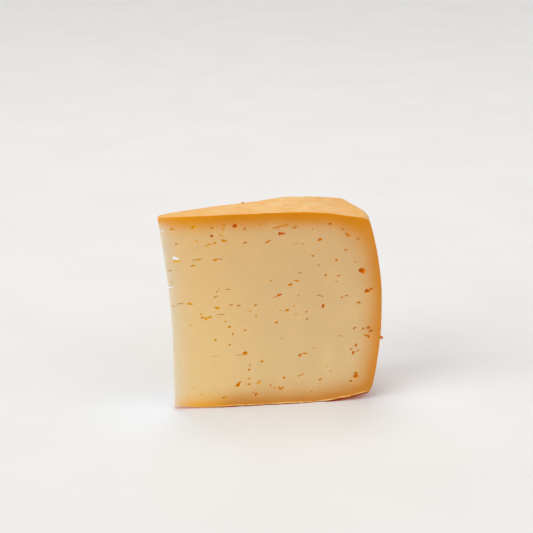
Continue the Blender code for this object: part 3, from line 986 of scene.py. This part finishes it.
def make_paste(colours, red_places):
    """Waxy paste, ochre towards the rind, with eyes whose walls are darker in painted shade, and a
    painted highlight and painted shadow along the lower cut edge.

    red_places holds the centre and the radius of each place whose eyes get red painted shade.
    """
    material, place, shader = new_material("cheese_paste", 0.5, 0.14, 0.3, (1.8, 1.3, 0.8))
    graph = place.graph
    from_top, from_foot, from_rim, from_point, below_cut, upward = noted(
        graph, "from_top", "from_foot", "from_rim", "from_point", "below_cut", "upward")

    cloudy = noise(place, 14 * MM, 3)
    layered = noise(stretched(place, 0.28, 0.28, 1), 2.2 * MM, 3)
    wander = 3.2 * (cloudy - 0.5)
    at_point = fade(from_point, 8, 34)

    colour = painted(
        colours.paste_deep, (fall_off(from_point, 38), colours.paste_pale),
        (0.35 * smooth(cloudy, 0.4, 0.75), colours.paste_pale),
        (0.22 * smooth(layered, 0.5, 0.8), colours.paste_deep))
    # Painted shade, darker towards the top, in place of the floor's light on the lower paste
    tone = mix(smooth(from_foot, 12, 80), (1, 1, 1, 1), colours.upper_painted_shade)
    colour = graph.vector_math("MULTIPLY", colour, tone)

    # Ochre borders along the rim, the foot and the top, and a paler edge down the point
    foot_ochre = mix(at_point, colours.ochre_foot, colours.gold_foot)
    top_ochre = mix(at_point, colours.ochre_top, colours.gold_top)
    foot = fall_off(from_foot + wander, 7.1 - 2.2 * at_point)
    foot = (1 - 0.4 * near_edge(from_point, 5)) * foot
    corner = fall_off(from_top, 13) * fall_off(from_rim, 16) * smooth(from_rim, 0, 5)
    corner = larger(0.8 * corner, 0.14 * fall_off(from_top, 14))
    # Less top ochre towards the point's edge and towards the rim
    ochre_thinning = 1 - 0.5 * near_edge(from_point, 4) - 0.7 * near_edge(from_rim, 2.8)
    pale_edge = 0.8 * (near_edge(from_point, 3.6) * smooth(from_top, 1, 6))
    colour = painted(
        colour, (fall_off(from_rim + wander, 7), colours.ochre_rim), (foot, foot_ochre),
        (corner, top_ochre), (ochre_thinning * fall_off(from_top + wander, 6.4, 3), top_ochre),
        (pale_edge, colours.point_edge))

    # The lower rind's thin edge, painted as a highlight, with painted shadow on the rind below it; the
    # edge is wider where it hangs
    wavy = from_foot + 0.7 * (noise(place, 7 * MM) - 0.5)
    wavy = 0.35 + (wavy - 0.35) * (1 + 1.2 * smooth(from_point, 50, 86))
    rinded = smooth(from_point, 12, 28)
    lip = smooth(wavy, 0.4, 0.55) * fade(wavy, 0.8, 1.1)
    lip = lip * (0.35 + 0.65 * smooth(noise(place, 4 * MM), 0.4, 0.6))
    colour = painted(colour, (lip * rinded, colours.lip_highlight),
                     (fade(wavy, 0.3, 0.5) * rinded, colours.lip_shade))

    # Walls of the eyes, which the rounded edges aren't, in painted light and shade: gold light let
    # through near the thin point, amber and brown further in, and red painted shade in the deeper eyes,
    # most near the top
    deep_red_shade = smooth(from_point, 17, 30) * smooth(below_cut, 0.75, 1.6)
    deep_red_shade = deep_red_shade * (1 - 0.6 * smooth(from_top, 10, 20))
    red_shade = larger(deep_red_shade, near_places(place, red_places, 0.6 * MM))
    eye_wall_shade = painted(
        colours.eye_gold, (smooth(from_point, 16, 40), colours.eye_amber),
        (fade(from_rim, 6, 22), colours.eye_brown), (red_shade, colours.eye_red))
    # Walls that face up take less of this colour: a painted highlight where the lamps above fall on them
    sunk = smooth(below_cut - 0.1 * smooth(upward, 0.25, 0.7), 0.06, 0.4)
    sunk = sunk * smooth(from_top, 0.4, 1.4) * smooth(from_foot, 0.8, 1.6)
    colour = mix(sunk * smooth(from_rim, 0.4, 1.4), colour, eye_wall_shade)

    fine = noise(place, 0.9 * MM, 3)
    feed(shader, Base_Color=colour, Roughness=0.46 + 0.12 * noise(place, 5 * MM, 3),
         Normal=bump(0.6 * fine + 0.4 * layered, 0.06 * MM))
    return material


def make_rind(colours):
    """Washed rind: orange under a dry pale bloom, with fine streaks and a few brown flecks."""
    material, place, shader = new_material("cheese_rind", 0.6, 0.3, 0.15, (1.8, 0.9, 0.4))
    from_top, from_rim, from_point, below_cut = noted(
        place.graph, "from_top", "from_rim", "from_point", "below_cut")

    streaks = noise(stretched(place, 0.22, 1, 1), 1.1 * MM, 5)
    clouds = noise(place, 9 * MM, 5)
    pores = noise(place, 0.6 * MM, 4)
    shoulder = fade(from_rim, 2, 26) * fade(from_top, 0.5, 3)
    side = fade(from_rim, 0.3, 3)
    bloom = smooth(noise(place, 6 * MM, 4), 0.35, 0.7)
    flecks = smooth(noise(place, 2.4 * MM), 0.70, 0.76)
    rubbed = smooth(noise(place, 1.1 * MM, 3), 0.45, 0.72)
    colour = painted(
        colours.rind_orange,
        (smooth(0.55 * streaks + 0.45 * clouds, 0.34, 0.66), colours.rind_pale),
        (0.5 * fade(from_point, 20, 55), colours.rind_orange),
        (0.55 * shoulder, colours.rind_orange),
        (side, mix(bloom, colours.rind_side, colours.rind_orange)),
        (0.6 * (side * fade(from_top, 1, 5)), colours.rind_pale),
        (0.75 * flecks, colours.rind_speck),
        (0.25 * rubbed, colours.rind_orange),
        (0.3 * fade(below_cut, 0.15, 0.7), colours.ochre_top))
    feed(shader, Base_Color=colour, Roughness=0.52 + 0.2 * clouds,
         Normal=bump(0.5 * streaks + 0.3 * pores + 0.2 * clouds, 0.25 * MM))
    return material


def make_under_rind(colours):
    """Moist rind of the underside, with a painted glow: it emits red light, paler under the thin point,
    onto the floor beneath.
    """
    material, place, shader = new_material("cheese_under_rind", 0.5, 0.3, 1, (9, 1.8, 0.4))
    # Painted glow: the lower rind emits light though it is no lamp
    shader.inputs["Emission Strength"].default_value = 0.3
    clouds = smooth(noise(place, 7 * MM, 4), 0.45, 0.7)
    from_point = noted(place.graph, "from_point")[0]
    painted_glow = mix(smooth(from_point, 9, 26), colours.tip_painted_glow, colours.painted_glow)
    feed(shader, Base_Color=mix(clouds, colours.rind_under, colours.rind_side),
         Emission_Color=painted_glow, Normal=bump(noise(place, 0.8 * MM, 3), 0.2 * MM))
    return material


def make_crumb_material(colours):
    """Dry, brownish crumbs of the rind."""
    material, place, shader = new_material("cheese_crumb", 0.7, 0.3)
    speckle = noise(place, 0.4 * MM, 3)
    colour = mix(smooth(speckle, 0.45, 0.85), colours.crumb, colours.rind_speck)
    feed(shader, Base_Color=colour, Normal=bump(speckle, 0.05 * MM))
    return material


def make_floor_material(stage):
    """Pale matte floor with the faintest mottling, painted cooler close to the wedge to cancel part of
    its orange bounce light.
    """
    material, place, shader = new_material("pale_floor", 0.8, 0.15)
    shade = tuple(0.975 * part for part in stage.floor_colour[:3]) + (1,)
    patches = smooth(noise(place, 60 * MM, 3), 0.3, 0.7)
    x, y, _ = apart(place)
    past_x, past_y = larger(abs(x) - COOL_HALF_LENGTH, 0), larger(abs(y) - COOL_HALF_WIDTH, 0)
    away = root(past_x * past_x + past_y * past_y)
    # Painted cool patch near the wedge, against its orange bounce light
    colour = mix(exponential(away / -COOL_FADE), mix(patches, shade, stage.floor_colour),
                 stage.floor_painted_cool)
    feed(shader, Base_Color=colour, Normal=bump(noise(place, 1.2 * MM), 0.02 * MM))
    return material


# Operators

class CHEESE_OT_carve_wedge(bpy.types.Operator):
    """Bend the wedge, sink its eyes and make its surfaces uneven"""

    bl_idname = "cheese.carve_wedge"
    bl_label = "Carve Wedge"

    def execute(self, context):
        wheel = context.scene.cheese_wheel
        surface = context.scene.cheese_surface
        colours = context.scene.cheese_colours
        centre = wheel_centre(wheel)
        red_places = [(near_cut_place(wheel, along, height) + centre, radius * MM)
                      for along, height, radius in RED_SHADED_EYES]
        paste = make_paste(colours, red_places)

        wedge = new_piece("cheese", bpy.data.meshes.new("cheese"))
        add_tree(wedge, make_wedge_tree(wheel, surface), (wheel, surface), centre_x=centre.x,
                 paste=paste, rind=make_rind(colours), under_rind=make_under_rind(colours))
        settle(wedge)
        set_up(wedge.modifiers.new("soften_edges", "BEVEL"), width=surface.edge_round, segments=2,
               limit_method="ANGLE", angle_limit=math.radians(ROUNDED_PAST))
        settle(wedge)

        ball_tree = make_ball_tree()
        near, far = all_eye_balls(wheel)
        passes = [(balls, surface.ball_detail) for balls in apart_in_passes(near)]
        passes += [(balls, surface.far_ball_detail) for balls in apart_in_passes(far)]
        cutters = []
        for index, (balls, detail) in enumerate(passes):
            cutter = cloud_of_balls(
                f"eyes_{index}", balls, ball_tree, detail, surface.ball_raggedness, paste)
            cutters.append(cutter)
            set_up(wedge.modifiers.new(cutter.name, "BOOLEAN"), operation="DIFFERENCE",
                   solver="MANIFOLD", object=cutter)
        settle(wedge)
        for cutter in cutters:
            bpy.data.objects.remove(cutter)

        add_tree(wedge, make_weather_tree(wheel, surface), (wheel, surface), centre_x=centre.x)
        settle(wedge)
        smooth_piece(wedge, SHARP_PAST)
        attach(wedge, "root")
        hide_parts(NODE)
        return {"FINISHED"}


class CHEESE_OT_drop_crumbs(bpy.types.Operator):
    """Drop a few crumbs on the rind"""

    bl_idname = "cheese.drop_crumbs"
    bl_label = "Drop Crumbs"

    def execute(self, context):
        scene = context.scene
        crumbs = cloud_of_balls(
            "crumbs", crumb_balls(scene.cheese_wheel), make_ball_tree(), CRUMB_DETAIL,
            CRUMB_RAGGEDNESS, make_crumb_material(scene.cheese_colours))
        settle(crumbs)
        smooth_piece(crumbs, CRUMB_SHARP_PAST)
        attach(crumbs, "root")
        return {"FINISHED"}


def add_lamp(name, kind, strength, azimuth, elevation, distance=2, **settings):
    """Hang a lamp so that it faces the wedge, and set it."""
    lamp = set_up(bpy.data.lights.new(name, kind), energy=strength, **settings)
    turn, rise = math.radians(azimuth), math.radians(elevation)
    level = math.cos(rise)
    towards = Vector((math.sin(turn) * level, -math.cos(turn) * level, math.sin(rise)))
    holder = new_piece(name, lamp)
    holder.location = distance * towards
    holder.rotation_euler = towards.to_track_quat("Z", "Y").to_euler()


class CHEESE_OT_set_stage(bpy.types.Operator):
    """Lay the floor and set the lamps, the sky and the camera"""

    bl_idname = "cheese.set_stage"
    bl_label = "Set Stage"

    def execute(self, context):
        scene = context.scene
        stage = scene.cheese_stage
        reach = stage.floor_side / 2
        corners = [(x * reach, y * reach, 0) for x, y in ((-1, -1), (1, -1), (1, 1), (-1, 1))]
        mesh = bpy.data.meshes.new("floor")
        mesh.from_pydata(corners, [], [(0, 1, 2, 3)])
        mesh.materials.append(make_floor_material(stage))
        new_piece("floor", mesh)

        world = bpy.data.worlds.new("soft_sky")
        world.use_nodes = True
        background = world.node_tree.nodes["Background"]
        background.inputs["Color"].default_value = stage.sky_colour
        background.inputs["Strength"].default_value = stage.sky_strength
        scene.world = world

        for name, azimuth, elevation in SIDE_LAMPS:
            strength = getattr(stage, f"{name}_strength")
            add_lamp(f"{name}_lamp", "SUN", strength, azimuth, elevation, angle=stage.side_softness)
        add_lamp("top_lamp", "AREA", stage.top_power, *TOP_LAMP, TOP_LAMP_DISTANCE, shape="SQUARE",
                 size=TOP_LAMP_SIDE)

        lens = set_up(bpy.data.cameras.new("camera"), lens=stage.focal_length, sensor_width=SENSOR_WIDTH,
                      clip_start=0.05)
        camera = new_piece("camera", lens)
        camera.location = stage.eye_point
        view = Vector(stage.aim_point) - Vector(stage.eye_point)
        camera.rotation_euler = view.to_track_quat("-Z", "Y").to_euler()
        scene.camera = camera
        scene.view_settings.view_transform = "Standard"
        return {"FINISHED"}


class VIEW3D_PT_cheese_wedge(bpy.types.Panel):
    """Lists the steps and the sizes in the sidebar"""

    bl_idname = "VIEW3D_PT_cheese_wedge"
    bl_label = "Cheese Wedge"
    bl_space_type = "VIEW_3D"
    bl_region_type = "UI"
    bl_category = "Cheese"

    def draw(self, context):
        for operator in OPERATORS:
            self.layout.operator(operator.bl_idname)
        for name in GROUPS:
            group = getattr(context.scene, name)
            column = self.layout.column(heading=name.replace("_", " ").capitalize())
            for label in properties_of(group):
                column.prop(group, label)


OPERATORS = (CHEESE_OT_set_stage, CHEESE_OT_carve_wedge, CHEESE_OT_drop_crumbs)
GROUPS = {
    "cheese_wheel": WheelSizes,
    "cheese_surface": SurfaceSizes,
    "cheese_colours": CheeseColours,
    "cheese_stage": StageSizes,
}


def register():
    """Add the classes and the scene's properties."""
    for cls in (*GROUPS.values(), *OPERATORS, VIEW3D_PT_cheese_wedge):
        bpy.utils.register_class(cls)
    for name, group in GROUPS.items():
        setattr(bpy.types.Scene, name, bpy.props.PointerProperty(type=group))


def unregister():
    """Take the classes and the scene's properties away again."""
    for name in GROUPS:
        delattr(bpy.types.Scene, name)
    for cls in (VIEW3D_PT_cheese_wedge, *reversed(OPERATORS), *reversed(GROUPS.values())):
        bpy.utils.unregister_class(cls)


def main():
    """Register the classes, and make the stage and the pieces."""
    register()
    bpy.ops.cheese.set_stage()
    bpy.ops.cheese.carve_wedge()
    bpy.ops.cheese.drop_crumbs()


if __name__ == "__main__":
    main()
